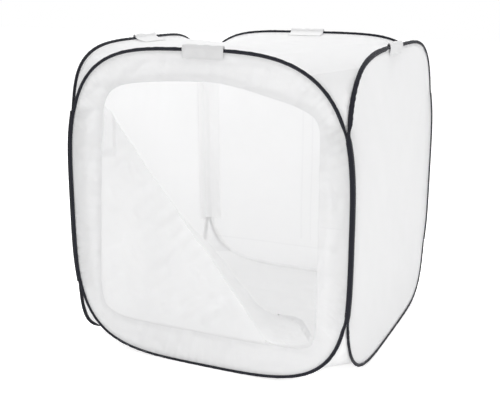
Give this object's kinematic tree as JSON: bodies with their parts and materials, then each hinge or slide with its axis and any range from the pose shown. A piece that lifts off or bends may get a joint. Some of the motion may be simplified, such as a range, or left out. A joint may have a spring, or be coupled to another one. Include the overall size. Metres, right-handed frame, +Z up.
{
  "type": "light tent cube",
  "caption": "Pop-up photographic light tent: sprung cloth walls sewn into a cube, with a front window whose cover is let down inside.",
  "frame": {"origin": "middle of the floor cloth, on the surface that the tent stands on", "axes": "+Z up, the window faces -Y, +X to the right seen from the front"},
  "size_m": [0.7584, 0.7683, 0.787],
  "materials": {
    "diffuser_cloth": "matte woven nylon",
    "strip_cloth": "matte woven nylon, doubled",
    "tab_cloth": "matte woven nylon, doubled",
    "binding_tape": "matte woven tape",
    "hook_and_loop": "hook and loop pile",
    "spring_steel": "blued, satin",
    "ferrule_steel": "zinc plated"
  },
  "bodies": {
    "front": {"front_steel_loop": "spring_steel", "front_ferrule": "ferrule_steel", "front_binding": "binding_tape", "front_top_tab": "tab_cloth", "front_panel": "diffuser_cloth", "window_loop_strip": "hook_and_loop", "front_cover": "diffuser_cloth", "front_right_hinge_tape": "binding_tape", "front_right_corner_strip": "strip_cloth", "front_right_top_gusset": "diffuser_cloth", "front_right_bottom_gusset": "diffuser_cloth", "front_left_hinge_tape": "binding_tape", "front_left_corner_strip": "strip_cloth", "front_left_top_gusset": "diffuser_cloth", "front_left_bottom_gusset": "diffuser_cloth", "top_panel": "diffuser_cloth", "floor_panel": "diffuser_cloth"},
    "right": {"right_steel_loop": "spring_steel", "right_ferrule": "ferrule_steel", "right_binding": "binding_tape", "right_top_tab": "tab_cloth", "right_panel": "diffuser_cloth", "back_right_hinge_tape": "binding_tape", "back_right_corner_strip": "strip_cloth", "back_right_top_gusset": "diffuser_cloth", "back_right_bottom_gusset": "diffuser_cloth"},
    "back": {"back_steel_loop": "spring_steel", "back_ferrule": "ferrule_steel", "back_binding": "binding_tape", "back_top_tab": "tab_cloth", "back_panel": "diffuser_cloth", "back_left_hinge_tape": "binding_tape", "back_left_corner_strip": "strip_cloth", "back_left_top_gusset": "diffuser_cloth", "back_left_bottom_gusset": "diffuser_cloth"},
    "left": {"left_steel_loop": "spring_steel", "left_ferrule": "ferrule_steel", "left_binding": "binding_tape", "left_top_tab": "tab_cloth", "left_panel": "diffuser_cloth"},
    "cover": {"cover_flap": "diffuser_cloth", "cover_hook_strip": "hook_and_loop"}
  },
  "joints": [
    {"name": "front_right_fold", "type": "hinge", "parent": "front", "child": "right", "pos_m": [0.357, -0.357, 0.39], "axis": [0, 0, 1], "range_deg": [0, 75], "deforming": ["front_right_hinge_tape", "front_right_corner_strip", "front_right_top_gusset", "front_right_bottom_gusset", "top_panel", "floor_panel", "cover_flap", "cover_hook_strip"]},
    {"name": "front_left_fold", "type": "hinge", "parent": "front", "child": "left", "pos_m": [-0.375, -0.375, 0.39], "axis": [0, 0, 1], "range_deg": [0, 75], "deforming": ["front_left_hinge_tape", "front_left_corner_strip", "front_left_top_gusset", "front_left_bottom_gusset", "top_panel", "floor_panel", "cover_flap", "cover_hook_strip"]},
    {"name": "back_right_fold", "type": "hinge", "parent": "right", "child": "back", "pos_m": [0.375, 0.375, 0.39], "axis": [0, 0, 1], "range_deg": [-75, 0], "deforming": ["back_right_hinge_tape", "back_right_corner_strip", "back_right_top_gusset", "back_right_bottom_gusset", "back_left_hinge_tape", "back_left_corner_strip", "back_left_top_gusset", "back_left_bottom_gusset", "top_panel", "floor_panel"]},
    {"name": "cover_swing", "type": "hinge", "parent": "front", "child": "cover", "pos_m": [-0.25419, -0.3719, 0.62216], "axis": [0.6256, 0, -0.7802], "range_deg": [0, 40], "deforming": ["cover_flap", "cover_hook_strip"]}
  ],
  "couplings": [
    {"joint": "front_left_fold", "follows": "front_right_fold", "ratio": 1},
    {"joint": "back_right_fold", "follows": "front_right_fold", "ratio": -1}
  ]
}
